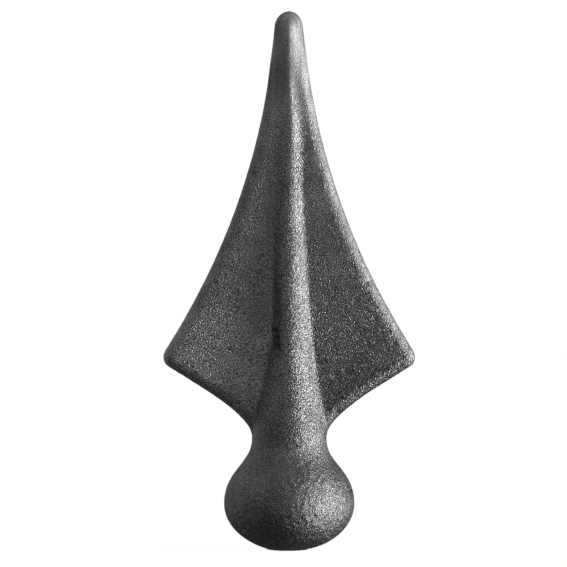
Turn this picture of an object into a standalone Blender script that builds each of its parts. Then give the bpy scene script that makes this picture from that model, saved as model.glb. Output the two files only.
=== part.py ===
"""Spear-head finial for a fence picket, forged in one piece and welded on by the flat under its ball.

X is the width, Y the thickness and Z the height, in metres. The origin is the middle of the weld
seat. Both faces are alike, so the front half is made and mirrored at the parting plane Y = 0.
"""

import math

import bpy
import bmesh
import numpy as np
from mathutils import Vector

# Lengths along the axis, stacked from the weld seat up
SEAT_TO_BALL = 0.0128  # to the level where the ball is widest
BALL_TO_NECK = 0.0176  # to the narrowest level of the neck
NECK_TO_BARB = 0.0220  # to the corners of the two barbs
BARB_TO_SHOULDER = 0.0927  # to where the blunt tip starts
TIP_LENGTH = 0.0049

# Half-widths of the outline
SEAT_RADIUS = 0.0057
BALL_RADIUS = 0.0183
NECK_RADIUS = 0.0104
BARB_REACH = 0.0366  # to the barb's corner before it is rounded
TIP_RADIUS = 0.0039
BARB_ROUNDING = 0.0033
EDGE_BOW = 0.0062  # how far the upper edges curve in from a straight line

# The blade and its rib
BLADE_THICKNESS = 0.0060  # over the rounded rims
PANEL_THICKNESS = 0.0046  # next to the rib, where the panel is widest
PANEL_FALL = 0.032  # how fast each face of a panel sinks towards the rib
RIM_WIDTH = 0.0032
RIB_FILLET = 0.0010

# How the free curves run, as shares of the length that each one covers
BALL_FULLNESS = 0.52  # the ball's upper side stays wide
NECK_HOLLOW = 0.37  # and then runs up into the neck
LOWER_EDGE_START = 0.15  # the lower edges rise with the neck
LOWER_EDGE_TURN = 0.31  # before they turn out to the barbs
RIB_ROOT = 0.12  # the rib keeps the neck's radius
RIB_DRAW = 0.05  # before it draws in to the tip's
RIM_SHARE = 0.36  # most of the half-width that a rim takes
CREST_SHARE = 0.60  # most that a rim stands up, against the half-width

# Columns from an edge to the middle of the rib
RIM_COLUMNS = 6
PANEL_COLUMNS = 4
RIB_COLUMNS = 7

BALL_HEIGHT = SEAT_TO_BALL
NECK_HEIGHT = BALL_HEIGHT + BALL_TO_NECK
BARB_HEIGHT = NECK_HEIGHT + NECK_TO_BARB
SHOULDER_HEIGHT = BARB_HEIGHT + BARB_TO_SHOULDER
HALF_COLUMNS = RIM_COLUMNS + PANEL_COLUMNS + RIB_COLUMNS


def steps(first, last, count):
    """Evenly spaced numbers from first to last."""
    return np.linspace(first, last, count).tolist()


def bezier(a, b, c, d, share):
    """Point of a cubic curve from a to d, with b and c as its handles."""
    rest = 1 - share
    return rest**3 * a + 3 * rest**2 * share * b + 3 * rest * share**2 * c + share**3 * d


def make_outline():
    """The right-hand edge as (half-width, height), from the seat up. Each point is a row."""
    ball = Vector((BALL_RADIUS, BALL_HEIGHT))
    neck = Vector((NECK_RADIUS, NECK_HEIGHT))
    barb = Vector((BARB_REACH, BARB_HEIGHT))
    shoulder = Vector((TIP_RADIUS, SHOULDER_HEIGHT))

    # Underside of the ball: an ellipse that the seat cuts off
    cut = math.acos(SEAT_RADIUS / BALL_RADIUS)
    half_height = SEAT_TO_BALL / math.sin(cut)
    points = []
    for angle in steps(cut, 0, 10):
        sink = half_height * math.sin(angle)
        points.append(Vector((BALL_RADIUS * math.cos(angle), BALL_HEIGHT - sink)))

    # Over the ball and in to the neck
    full = ball + Vector((0, BALL_FULLNESS * BALL_TO_NECK))
    hollow = neck - Vector((0, NECK_HOLLOW * BALL_TO_NECK))
    for share in steps(0, 1, 11)[1:]:
        points.append(bezier(ball, full, hollow, neck, share))

    # Out to the barb, stopping where its rounding starts
    start = neck + Vector((0, LOWER_EDGE_START * NECK_TO_BARB))
    turn = neck + Vector((0, LOWER_EDGE_TURN * NECK_TO_BARB))
    chord = shoulder - barb
    inward = Vector((-chord.y, chord.x)).normalized()
    corner = (turn - barb).angle(chord + 4 * EDGE_BOW * inward)
    cut_back = BARB_ROUNDING / math.tan(corner / 2)
    last = 1 - cut_back / (3 * (barb - turn).length)
    for share in steps(0, last, 14)[1:]:
        points.append(bezier(neck, start, turn, barb, share))

    # The upper edge, bowed in toward the rib, and the barb's rounding before it
    upper = []
    for share in steps(cut_back / chord.length, 1, 34):
        upper.append(barb + share * chord + 4 * EDGE_BOW * share * (1 - share) * inward)
    below, above = points[-1], upper[0]
    for share in steps(0, 1, 8)[1:-1]:
        points.append(bezier(below, below.lerp(barb, 0.54), above.lerp(barb, 0.54), above, share))
    points += upper

    # Blunt tip
    for angle in steps(0, math.pi / 2, 7)[1:]:
        rise = TIP_LENGTH * math.sin(angle)
        points.append(Vector((TIP_RADIUS * math.cos(angle), SHOULDER_HEIGHT + rise)))
    points[-1].x = 0
    return points


OUTLINE = make_outline()
EDGE = np.array(OUTLINE)
NECK = Vector((NECK_RADIUS, NECK_HEIGHT))
SHOULDER = Vector((TIP_RADIUS, SHOULDER_HEIGHT))
RIB_LENGTH = SHOULDER_HEIGHT - NECK_HEIGHT
RIB_LINE = [
    bezier(
        NECK,
        NECK + Vector((0, RIB_ROOT * RIB_LENGTH)),
        Vector((TIP_RADIUS, NECK_HEIGHT + RIB_DRAW * RIB_LENGTH)),
        SHOULDER,
        share,
    )
    for share in steps(0, 1, 60)
]


def rib_radius(height):
    """Radius of the rib at this height."""
    return np.interp(height, [point.y for point in RIB_LINE], [point.x for point in RIB_LINE])


def edge_distance(x, height):
    """Shortest way from a point of the parting plane to the outline."""
    point = np.array((x, height))
    start, along = EDGE[:-1], np.diff(EDGE, axis=0)
    share = ((point - start) * along).sum(axis=1) / (along**2).sum(axis=1)
    nearest = start + np.clip(share, 0, 1)[:, None] * along
    return np.linalg.norm(nearest - point, axis=1).min()


def inset(width, height, distance):
    """How far out a row lies this distance inside the outline."""
    inner, outer = 0, width
    for _ in range(24):
        middle = (inner + outer) / 2
        if edge_distance(middle, height) < distance:
            outer = middle
        else:
            inner = middle
    return inner


def blended(a, b, reach):
    """The larger of two depths, with a fillet where they are nearly the same."""
    near = max(reach - abs(a - b), 0) / max(reach, 1e-9)
    return max(a, b) + near**2 * reach / 4


def column_angles(width, height):
    """Angles of the columns on a round row: even, but gathered where the blade grows out."""
    rise = min(max((height - BALL_HEIGHT) / BALL_TO_NECK, 0), 1) if height < BARB_HEIGHT else 0
    gather = rise**2 * (3 - 2 * rise)
    side = math.atan2(PANEL_THICKNESS / 2, width)
    outer = RIM_COLUMNS + PANEL_COLUMNS
    gathered = steps(0, side, outer + 1)[:-1] + steps(side, math.pi / 2, RIB_COLUMNS)
    even = steps(0, math.pi / 2, HALF_COLUMNS)
    return [gather * near + (1 - gather) * far for near, far in zip(gathered, even)]


def make_row(width, height):
    """One row as (x, depth), from its edge to the middle of the rib."""
    round_row = [(width * math.cos(a), width * math.sin(a)) for a in column_angles(width, height)]
    if height <= NECK_HEIGHT or width == 0:
        return round_row

    rib = min(rib_radius(height), width)
    rim = min(RIM_WIDTH, RIM_SHARE * width)
    crest = min(BLADE_THICKNESS / 2, CREST_SHARE * width)
    crest_at = inset(width, height, rim)
    sunk = crest - PANEL_FALL * max(crest_at - rib, 0)
    panel = max(sunk, crest * PANEL_THICKNESS / BLADE_THICKNESS)
    foot = max(math.sqrt(max(rib**2 - panel**2, 0)), rib / 2)

    # The outer columns follow the rim and the inner ones the rib, with four on the panel between
    rim_end = max(crest_at, (foot + width) / 2)
    places = []
    for angle in steps(0, math.pi / 2, RIM_COLUMNS):
        share = 1 - math.cos(angle)
        places.append(max(inset(width, height, rim * share), width - (width - rim_end) * share))
    beside = foot + min(RIB_FILLET / 2, (width - foot) / 4)
    near = beside + min(RIB_FILLET, (rim_end - beside) / PANEL_COLUMNS)
    places += steps(rim_end, near, PANEL_COLUMNS)[1:] + [beside]
    for angle in steps(math.asin(foot / rib), 0, RIB_COLUMNS):
        places.append(rib * math.sin(angle))

    # Where the blade hardly stands out from the rib, they run as on a round row
    out = min((width - rib) / RIB_FILLET, 1)
    places = [out * place + (1 - out) * x for place, (x, _) in zip(places, round_row)]
    places[0], places[-1] = width, 0

    row = []
    for x in places:
        rounding = 1 - min(edge_distance(x, height) / rim, 1)
        climb = min(max((x - foot) / max(crest_at - foot, 1e-6), 0), 1)
        flat = panel + (crest - panel) * climb**2
        blade = (crest if rounding > 0 else flat) * math.sqrt(1 - rounding**2)
        core = math.sqrt(rib**2 - x**2) if x < rib else 2 * (rib - x)
        row.append((x, blended(core, blade, RIB_FILLET * blade / crest)))
    row[0] = (width, 0)
    return row


for old in list(bpy.data.objects):
    bpy.data.objects.remove(old, do_unlink=True)

# The front half is a grid whose rows are wrapped round the form, with the seat's middle as the first
rows = [make_row(0, 0)] + [make_row(*point) for point in OUTLINE]
bpy.ops.mesh.primitive_grid_add(
    x_subdivisions=2 * HALF_COLUMNS - 2, y_subdivisions=len(rows) - 1, size=1
)
spearhead = bpy.context.object
spearhead.name = spearhead.data.name = "spearhead"
heights = [0] + [point.y for point in OUTLINE]
for vertex in spearhead.data.vertices:
    column = round((vertex.co.x + 0.5) * (2 * HALF_COLUMNS - 2))
    level = round((vertex.co.y + 0.5) * (len(rows) - 1))
    side = -1 if column < HALF_COLUMNS else 1
    x, depth = rows[level][min(column, 2 * HALF_COLUMNS - 2 - column)]
    vertex.co = (side * x, -depth, heights[level])

# The seat's middle and the tip are one point each
half = bmesh.new()
half.from_mesh(spearhead.data)
bmesh.ops.remove_doubles(half, verts=half.verts, dist=1e-6)
half.to_mesh(spearhead.data)
half.free()

mirror = spearhead.modifiers.new("both faces", "MIRROR")
mirror.use_axis = (False, True, False)
mirror.merge_threshold = 1e-5
spearhead.data.shade_smooth()
for edge in spearhead.data.edges:
    ends = [spearhead.data.vertices[index].co for index in edge.vertices]
    edge.use_edge_sharp = all(co.z < 1e-6 and co.length > SEAT_RADIUS - 1e-6 for co in ends)

iron = bpy.data.materials.new("dark forged iron")
iron.use_nodes = True
shader = iron.node_tree.nodes["Principled BSDF"]
shader.inputs["Base Color"].default_value = (0.16, 0.16, 0.165, 1)
shader.inputs["Metallic"].default_value = 1.0
shader.inputs["Roughness"].default_value = 0.45
spearhead.data.materials.append(iron)

collection = bpy.data.collections.new("fence finial")
bpy.context.scene.collection.children.link(collection)
for holder in list(spearhead.users_collection):
    holder.objects.unlink(spearhead)
collection.objects.link(spearhead)
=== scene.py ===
import math

import bpy
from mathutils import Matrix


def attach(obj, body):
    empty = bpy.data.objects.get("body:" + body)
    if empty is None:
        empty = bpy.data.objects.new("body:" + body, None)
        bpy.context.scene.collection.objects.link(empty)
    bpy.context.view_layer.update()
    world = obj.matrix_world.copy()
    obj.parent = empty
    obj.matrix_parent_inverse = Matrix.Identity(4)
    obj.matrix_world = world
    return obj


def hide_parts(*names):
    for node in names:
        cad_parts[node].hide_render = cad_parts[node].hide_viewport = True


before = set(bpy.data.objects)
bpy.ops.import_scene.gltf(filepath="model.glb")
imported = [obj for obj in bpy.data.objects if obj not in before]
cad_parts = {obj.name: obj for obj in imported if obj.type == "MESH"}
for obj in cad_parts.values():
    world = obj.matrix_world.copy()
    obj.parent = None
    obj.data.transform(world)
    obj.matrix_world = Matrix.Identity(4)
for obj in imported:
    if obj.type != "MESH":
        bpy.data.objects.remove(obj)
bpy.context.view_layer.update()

# The spear head, one forging of bare iron. Its skin is the solid's own form with what the dies, the
# scale and the tumbling drum leave on it: broad waves, grit, pits, and edges and a tip that are
# rubbed smoother than the rest. Its colour also carries painted shade in the pits, in the concave
# places and low on the right barb, and painted light towards the tip and on the left barb.

HEAD_HEIGHT = 0.150
SKIN_CELL = 0.00042
FOOT_SHIFT = 0.0010
GROOVE_FILL = 0.00012
TIP_LEAN = 0.0009
CREST_HEIGHT = 0.00042
CREST_REACH = 0.004
WAVE_DEPTH = 0.00015
WRINKLE_DEPTH = 0.00030
GRIT_DEPTH = 0.00012
GRIT_LOST_AT_TIP = 0.7
NOISE_REST = 0.6  # the value of a noise that leaves the skin where it is
PIT_DEPTH = 0.0006
SEAT_CUT = 0.0002


def rise(value, first, last):
    """0 up to the first value, 1 from the last, and a soft climb between."""
    share = min(max((value - first) / (last - first), 0), 1)
    return share * share * (3 - 2 * share)


def between(value, first, full, fading, last):
    """1 from full to fading, with a soft climb before and a soft fall after."""
    return rise(value, first, full) * (1 - rise(value, fading, last))


def in_front(at, depth=0.0025):
    """1 on the front, 0 on the back, and a soft climb over the side's front half."""
    return rise(-at.y, 0, depth)


def weigh(share_at):
    """Add a vertex group whose weight at each place is what share_at says."""
    group = iron.vertex_groups.new(name=share_at.__name__)
    for vertex in iron.data.vertices:
        share = share_at(vertex.co)
        if share > 0.001:
            group.add([vertex.index], share, "REPLACE")
    return group.name


def ease(iterations, group=""):
    """Smooth the skin."""
    eased = iron.modifiers.new("eased", "SMOOTH")
    eased.factor = 0.5
    eased.iterations = iterations
    eased.vertex_group = group
    bpy.ops.object.modifier_apply(modifier=eased.name)


def push(distance, group="", texture=None, direction="NORMAL"):
    """Move the skin out by a distance, as the group and the texture weigh it."""
    moved = iron.modifiers.new("pushed", "DISPLACE")
    moved.strength = distance
    moved.mid_level = NOISE_REST if texture else 0
    moved.vertex_group = group
    moved.texture = texture
    moved.texture_coords = "LOCAL"
    moved.direction = direction
    bpy.ops.object.modifier_apply(modifier=moved.name)


def clouds(name, size, detail):
    """A noise for the relief, with features of about this size."""
    texture = bpy.data.textures.new(name, "CLOUDS")
    texture.noise_scale = size
    texture.noise_depth = detail
    return texture


bpy.ops.object.select_all(action="DESELECT")
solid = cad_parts["spearhead"]
iron = bpy.data.objects.new("spearhead_iron", solid.data.copy())
bpy.context.scene.collection.objects.link(iron)
bpy.context.view_layer.objects.active = iron
iron.select_set(True)

bpy.ops.object.mode_set(mode="EDIT")
bpy.ops.mesh.select_all(action="SELECT")
bpy.ops.mesh.remove_doubles(threshold=1e-6)
bpy.ops.mesh.tris_convert_to_quads()
bpy.ops.object.mode_set(mode="OBJECT")

# Rounded between its facets, then evenly meshed all over
round_out = iron.modifiers.new("rounded", "SUBSURF")
round_out.levels = 2
bpy.ops.object.modifier_apply(modifier=round_out.name)

skin = iron.modifiers.new("even skin", "REMESH")
skin.mode = "VOXEL"
skin.voxel_size = SKIN_CELL
bpy.ops.object.modifier_apply(modifier=skin.name)
ease(iterations=2)


# In front the rib's left foot lies nearer to the middle, halfway down the blade
def left_foot(at):
    """1 on the rib's left foot, halfway down the blade."""
    across = between(at.x, -0.0105, -0.0065, -0.0048, -0.0010)
    return in_front(at) * across * between(at.z, 0.040, 0.056, 0.066, 0.080)


push(FOOT_SHIFT, weigh(left_foot), direction="X")


# Towards the tip the grooves beside the rib run out
def upper_grooves(at):
    """1 on the last stretch under the tip, fading towards the tip itself and down the blade."""
    return between(at.z, 0.100, 0.122, 0.138, 0.146)


ease(iterations=24, group=weigh(upper_grooves))
push(GROOVE_FILL, "upper_grooves")


# There the front leans to the left, and its crest is drawn to a soft edge
def leaning_front(at):
    """1 on the front of the tip."""
    return rise(at.z, 0.114, 0.136) * in_front(at, 0.0028)


def crest(at):
    """1 on the line of the crest, falling to 0 on both sides."""
    line = 0.0008 * (1 - rise(at.z, 0.112, 0.138))
    near = max(0, 1 - abs(at.x - line) / CREST_REACH) ** 2
    return near * between(at.z, 0.096, 0.126, 0.143, 0.149) * in_front(at)


push(-TIP_LEAN, weigh(leaning_front), direction="X")
push(-CREST_HEIGHT, weigh(crest), direction="Y")


# Waves all over, wrinkles on the front and the back of the ball, and grit, with less of it at the tip
def wrinkled(at):
    """1 on the ball's front and back, fading up the neck."""
    return (1 - rise(at.z, 0.026, 0.044)) * rise(abs(at.y), 0.002, 0.009)


def gritty(at):
    """1 up to the tip, and less on it."""
    return 1 - GRIT_LOST_AT_TIP * rise(at.z, 0.112, 0.132)


push(WAVE_DEPTH, texture=clouds("forging waves", 0.010, 1))
push(WRINKLE_DEPTH, weigh(wrinkled), clouds("wrinkles", 0.0012, 0))
push(GRIT_DEPTH, weigh(gritty), clouds("scale grit", 0.0010, 2))

# Pits and nicks in front and behind: place across and up, half-width, half-height, share of the depth
PITS = (
    (-0.0041, 0.0580, 0.0015, 0.0070, 0.5),
    (-0.0040, 0.0609, 0.0015, 0.0014, 0.9),
    (-0.0038, 0.0588, 0.0016, 0.0021, 1.0),
    (-0.0036, 0.0566, 0.0017, 0.0020, 1.0),
    (-0.0037, 0.0538, 0.0014, 0.0014, 0.4),
    (-0.0185, 0.0829, 0.0009, 0.0013, 0.4),
    (-0.0245, 0.0698, 0.0011, 0.0016, 0.25),
    (-0.0126, 0.0655, 0.0016, 0.0012, 0.25),
    (-0.0165, 0.0554, 0.0020, 0.0012, 0.25),
    (-0.0141, 0.0407, 0.0020, 0.0012, 0.35),
    (-0.0098, 0.1045, 0.0008, 0.0020, 0.4),
    (0.0218, 0.0742, 0.0020, 0.0013, 0.6),
    (0.0291, 0.0574, 0.0014, 0.0014, 0.5),
    (0.0239, 0.0642, 0.0012, 0.0022, 0.3),
    (0.0184, 0.0691, 0.0012, 0.0020, 0.25),
    (0.0132, 0.0487, 0.0020, 0.0014, 0.3),
    (0.0136, 0.0383, 0.0014, 0.0012, 0.4),
    (0.0175, 0.0165, 0.0016, 0.0006, 0.5),
)
PITS_BEHIND = (
    (-0.0205, 0.0600, 0.0018, 0.0013, 0.4),
    (-0.0110, 0.0810, 0.0011, 0.0018, 0.3),
    (0.0242, 0.0512, 0.0016, 0.0014, 0.4),
    (0.0125, 0.0640, 0.0019, 0.0013, 0.3),
    (0.0048, 0.0560, 0.0017, 0.0042, 0.4),
    (-0.0120, 0.0200, 0.0016, 0.0012, 0.4),
)


def pitted(at):
    """How deep a place lies in a pit, as a share of the deepest."""
    return max(
        share * (1 - rise(math.hypot((at.x - x) / wide, (at.z - z) / tall), 0, 1))
        for x, z, wide, tall, share in (PITS if at.y < 0 else PITS_BEHIND)
    )


push(-PIT_DEPTH, weigh(pitted))

# The weld seat is sawn flat
bpy.ops.object.mode_set(mode="EDIT")
bpy.ops.mesh.select_all(action="DESELECT")
bpy.ops.object.mode_set(mode="OBJECT")
for vertex in iron.data.vertices:
    vertex.select = vertex.co.z < SEAT_CUT
bpy.ops.object.mode_set(mode="EDIT")
bpy.ops.transform.resize(value=(1, 1, 0), center_override=(0, 0, 0))
bpy.ops.object.mode_set(mode="OBJECT")
bpy.ops.object.shade_smooth()


def add_shades(name, grey):
    """Give each point of the skin a grey, to be read by the material."""
    bpy.ops.geometry.color_attribute_add(
        name=name,
        domain="POINT",
        data_type="FLOAT_COLOR",
        color=(grey, grey, grey, 1),
    )


# Painted shade: each point is darkened where the skin is concave, more in the pits, and under the
# right barb's lower rim
PAINTED_SHADE_IN_PITS = 0.9
PIT_SHADE_REACH = 1.4
PAINTED_SHADE_UNDER_BARB = 0.45
BARB_RIM = (0.0130, 0.0371)  # a place on the right barb's lower rim, across and up
BARB_RIM_SLOPE = math.radians(34.3)


def under_right_barb(at):
    """1 on the rounding of the right barb's lower rim, 0 on the rest of the blade."""
    across, up = at.x - BARB_RIM[0], at.z - BARB_RIM[1]
    out = across * math.sin(BARB_RIM_SLOPE) - up * math.cos(BARB_RIM_SLOPE)
    return rise(out, -0.0034, -0.0016) * rise(at.x, 0.0100, 0.0130)


add_shades("painted_shade", 1)
bpy.ops.object.mode_set(mode="VERTEX_PAINT")
# Painted shade: the dirt tool darkens the concave places of the skin
bpy.ops.paint.vertex_color_dirt(
    blur_strength=0.5,
    blur_iterations=1,
    clean_angle=math.radians(90),
    dirt_angle=math.radians(60),
    normalize=False,
)
bpy.ops.object.mode_set(mode="OBJECT")
for vertex, shaded in zip(iron.data.vertices, iron.data.color_attributes["painted_shade"].data):
    bright = shaded.color[0] * (1 - PAINTED_SHADE_IN_PITS * min(1, PIT_SHADE_REACH * pitted(vertex.co)))
    # Painted shade under the right barb's lower rim
    bright *= 1 - PAINTED_SHADE_UNDER_BARB * under_right_barb(vertex.co)
    shaded.color = (bright, bright, bright, 1)

# How smooth each place is rubbed, from how far the blade reaches at each height
TIP_RUBBED = 0.9
RIM_RUBBED = 0.6
BLADE_RUBBED = 0.45
BALL_RUBBED = 0.3
ROW_HEIGHT = 0.0005

reach = {}
for vertex in iron.data.vertices:
    row = int(vertex.co.z / ROW_HEIGHT)
    reach[row] = max(reach.get(row, 0), abs(vertex.co.x))


def rubbed_at(at):
    """How smooth a place is rubbed: the tip most, and the rib not at all."""
    edge = reach[int(at.z / ROW_HEIGHT)]
    rim = rise(abs(at.x), edge - 0.0034, edge - 0.0018) * rise(at.z, 0.050, 0.060)
    upper_blade = rise(at.z, 0.060, 0.105) * rise(abs(at.x), 0.0030, 0.0055)
    ball = 1 - rise(at.z, 0.021, 0.042)
    tip = rise(at.z, 0.102, 0.132)
    return max(RIM_RUBBED * rim, BLADE_RUBBED * upper_blade, BALL_RUBBED * ball, TIP_RUBBED * tip)


add_shades("rubbed", 0)
for vertex, rub in zip(iron.data.vertices, iron.data.color_attributes["rubbed"].data):
    share = rubbed_at(vertex.co)
    rub.color = (share, share, share, 1)

metal = bpy.data.materials.new("bare forged iron")
metal.use_nodes = True
nodes, links = metal.node_tree.nodes, metal.node_tree.links
shader = nodes["Principled BSDF"]
shader.inputs["Metallic"].default_value = 1.0
place = nodes.new("ShaderNodeTexCoord").outputs["Object"]


def mapped(setting, value):
    """The places on the skin, moved or stretched."""
    mapping = nodes.new("ShaderNodeMapping")
    mapping.inputs[setting].default_value = value
    links.new(place, mapping.inputs["Vector"])
    return mapping.outputs["Vector"]


def noise(places, scale, detail):
    """A noise over these places, with this many features to the metre."""
    pattern = nodes.new("ShaderNodeTexNoise")
    pattern.inputs["Scale"].default_value = scale
    pattern.inputs["Detail"].default_value = detail
    links.new(places, pattern.inputs["Vector"])
    return pattern.outputs["Fac"]


def painted(name):
    """The greys that were given to the points of the skin."""
    shades = nodes.new("ShaderNodeVertexColor")
    shades.layer_name = name
    return shades.outputs["Color"]


def away_from(point):
    """The distance from a point."""
    distance = nodes.new("ShaderNodeVectorMath")
    distance.operation = "DISTANCE"
    distance.inputs[1].default_value = point
    links.new(place, distance.inputs[0])
    return distance.outputs["Value"]


def greys(value, *stops):
    """Turn a value into a grey, by a ramp through stops of value and grey."""
    ramp = nodes.new("ShaderNodeValToRGB")
    ends = ramp.color_ramp.elements
    for end, (at, grey) in zip(ends, stops[:2]):
        end.position = at
        end.color = (grey, grey, grey, 1)
    for at, grey in stops[2:]:
        ends.new(at).color = (grey, grey, grey, 1)
    links.new(value, ramp.inputs["Fac"])
    return ramp.outputs["Color"]


def spread(value, first, last, low, high, climb="LINEAR"):
    """Turn a value from first to last into one from low to high."""
    spreading = nodes.new("ShaderNodeMapRange")
    spreading.interpolation_type = climb
    spreading.inputs["From Min"].default_value = first
    spreading.inputs["From Max"].default_value = last
    spreading.inputs["To Min"].default_value = low
    spreading.inputs["To Max"].default_value = high
    links.new(value, spreading.inputs["Value"])
    return spreading.outputs["Result"]


def times(first, second):
    """Multiply two greys."""
    product = nodes.new("ShaderNodeVectorMath")
    product.operation = "MULTIPLY"
    links.new(first, product.inputs[0])
    links.new(second, product.inputs[1])
    return product.outputs["Vector"]


# Flecks of bare metal among the scale, which run together where the skin is rubbed, and the painted
# shade of the concave places and the pits
rubbed = painted("rubbed")
flecks = noise(mapped("Location", (0.5, 0.5, 0.5)), scale=3300, detail=1)
smeared = nodes.new("ShaderNodeMix")
smeared.data_type = "RGBA"
smeared.inputs["B"].default_value = (0.41, 0.41, 0.41, 1)
links.new(spread(rubbed, 0, 1, 0, 0.75), smeared.inputs["Factor"])
links.new(greys(flecks, (0.34, 0.08), (0.66, 0.76)), smeared.inputs["A"])
shaded_tone = greys(painted("painted_shade"), (0.25, 0.42), (0.60, 1))
tone = times(smeared.outputs["Result"], shaded_tone)

# Painted light and shade: lighter towards the tip and darker down on the ball, painted light on the
# left barb and painted shade low on the right one
parts = nodes.new("ShaderNodeSeparateXYZ")
links.new(place, parts.inputs["Vector"])
height = spread(parts.outputs["Z"], 0, HEAD_HEIGHT, 0, 1)
painted_light_by_height = greys(height, (0.23, 0.59), (0.38, 0.78), (0.62, 0.81), (0.85, 0.98))
# Painted light: lighter round the left barb
left_barb_light = spread(away_from((-0.024, 0, 0.049)), 0.008, 0.027, 1.48, 1, "SMOOTHSTEP")
# Painted shade: darker low on the right barb
right_barb_shade = spread(away_from((0.021, 0, 0.042)), 0.008, 0.020, 0.72, 1, "SMOOTHSTEP")
mottle = spread(noise(place, scale=130, detail=2), 0.3, 0.7, 0.84, 1.16)
base = times(tone, times(painted_light_by_height, times(times(left_barb_light, right_barb_shade), mottle)))

# Where the skin is rubbed, faint streaks run up and down it
streak = spread(noise(mapped("Scale", (1, 1, 0.10)), scale=800, detail=2), 0.3, 0.7, 0.72, 1.28)
streaked = nodes.new("ShaderNodeMix")
streaked.inputs["A"].default_value = 1.0
links.new(rubbed, streaked.inputs["Factor"])
links.new(streak, streaked.inputs["B"])
links.new(times(base, streaked.outputs["Result"]), shader.inputs["Base Color"])

# There it is duller too, and its finest grain is weaker
bump = nodes.new("ShaderNodeBump")
bump.inputs["Distance"].default_value = 0.00035
links.new(spread(rubbed, 0, 1, 0.285, 0.66), shader.inputs["Roughness"])
links.new(spread(rubbed, 0, 1, 1, 0.5), bump.inputs["Strength"])
links.new(noise(place, scale=2900, detail=1), bump.inputs["Height"])
links.new(bump.outputs["Normal"], shader.inputs["Normal"])
iron.data.materials.clear()
iron.data.materials.append(metal)

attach(iron, "root")
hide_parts("spearhead")

# The floor, plain and pale. Only the camera sees it, and only from above: the photo's iron mirrors
# no floor.

FLOOR_SIZE = 12
FLOOR_GLOW = 1.1
FLOOR_MATT_SHARE = 0.12
bpy.ops.object.select_all(action="DESELECT")
bpy.ops.mesh.primitive_plane_add(size=FLOOR_SIZE, location=(0, 0, 0))
floor = bpy.context.object
floor.name = "floor"
paint = bpy.data.materials.new("pale floor")
paint.use_nodes = True
nodes, links = paint.node_tree.nodes, paint.node_tree.links
nodes.clear()
out = nodes.new("ShaderNodeOutputMaterial")
rays = nodes.new("ShaderNodeLightPath")
choose = nodes.new("ShaderNodeMixShader")
seen = nodes.new("ShaderNodeMixShader")
seen.inputs["Fac"].default_value = FLOOR_MATT_SHARE
glow = nodes.new("ShaderNodeEmission")
glow.inputs["Color"].default_value = (1, 1, 1, 1)
glow.inputs["Strength"].default_value = FLOOR_GLOW
matt = nodes.new("ShaderNodeBsdfDiffuse")
matt.inputs["Color"].default_value = (0.9, 0.9, 0.9, 1)
clear = nodes.new("ShaderNodeBsdfTransparent")
side = nodes.new("ShaderNodeNewGeometry")
above = nodes.new("ShaderNodeMixShader")
links.new(glow.outputs[0], seen.inputs[1])
links.new(matt.outputs[0], seen.inputs[2])
links.new(rays.outputs["Is Camera Ray"], choose.inputs["Fac"])
links.new(clear.outputs[0], choose.inputs[1])
links.new(seen.outputs[0], choose.inputs[2])
links.new(side.outputs["Backfacing"], above.inputs["Fac"])
links.new(choose.outputs[0], above.inputs[1])
links.new(clear.outputs[0], above.inputs[2])
links.new(above.outputs[0], out.inputs["Surface"])
floor.data.materials.append(paint)

# The light: a tall soft panel close on the right, two faint ones behind, right and left, and a dim
# room that is lighter overhead and round the camera.

for name, wide, tall, watts, spot, turn in (
    ("right panel", 0.30, 0.78, 4.8, (0.55, -0.06, -0.03), 90),
    ("right rear panel", 0.90, 0.80, 0.30, (0.72, 0.75, 0.05), 136),
    ("left fill", 0.90, 0.90, 0.50, (-0.75, 0.45, 0.05), -120),
):
    lamp = bpy.data.lights.new(name, "AREA")
    lamp.shape = "RECTANGLE"
    lamp.size, lamp.size_y = wide, tall
    lamp.energy = watts
    panel = bpy.data.objects.new(name, lamp)
    panel.location = spot
    panel.rotation_euler = (math.radians(90), 0, math.radians(turn))
    bpy.context.scene.collection.objects.link(panel)

room = bpy.data.worlds.new("room")
room.use_nodes = True
nodes, links = room.node_tree.nodes, room.node_tree.links
nodes.clear()
out = nodes.new("ShaderNodeOutputWorld")
rays = nodes.new("ShaderNodeLightPath")
choose = nodes.new("ShaderNodeMixShader")
way = nodes.new("ShaderNodeTexCoord")
parts = nodes.new("ShaderNodeSeparateXYZ")
both = nodes.new("ShaderNodeMath")
both.operation = "ADD"
dim = nodes.new("ShaderNodeBackground")
white = nodes.new("ShaderNodeBackground")
white.inputs["Color"].default_value = (1, 1, 1, 1)
links.new(way.outputs["Generated"], parts.inputs[0])
links.new(spread(parts.outputs["Z"], 0, 1, 0.05, 0.36), both.inputs[0])
links.new(spread(parts.outputs["Y"], -0.93, -1, 0, 0.5), both.inputs[1])
links.new(both.outputs["Value"], dim.inputs["Color"])
links.new(rays.outputs["Is Camera Ray"], choose.inputs["Fac"])
links.new(dim.outputs[0], choose.inputs[1])
links.new(white.outputs[0], choose.inputs[2])
links.new(choose.outputs[0], out.inputs["Surface"])
bpy.context.scene.world = room
bpy.context.scene.view_settings.view_transform = "Standard"

# The camera, level with the middle of the spear head and square to its face. It stands well back, so
# the sides hardly draw in.

CAMERA_ACROSS = -0.0016
CAMERA_UP = 0.0740
CAMERA_AWAY = 0.75
VIEW_WIDTH = 0.1581
lens = bpy.data.cameras.new("camera")
lens.sensor_width = 36
lens.lens = lens.sensor_width * CAMERA_AWAY / VIEW_WIDTH
camera = bpy.data.objects.new("camera", lens)
camera.location = (CAMERA_ACROSS, -CAMERA_AWAY, CAMERA_UP)
camera.rotation_euler = (math.radians(90), 0, 0)
bpy.context.scene.collection.objects.link(camera)
bpy.context.scene.camera = camera
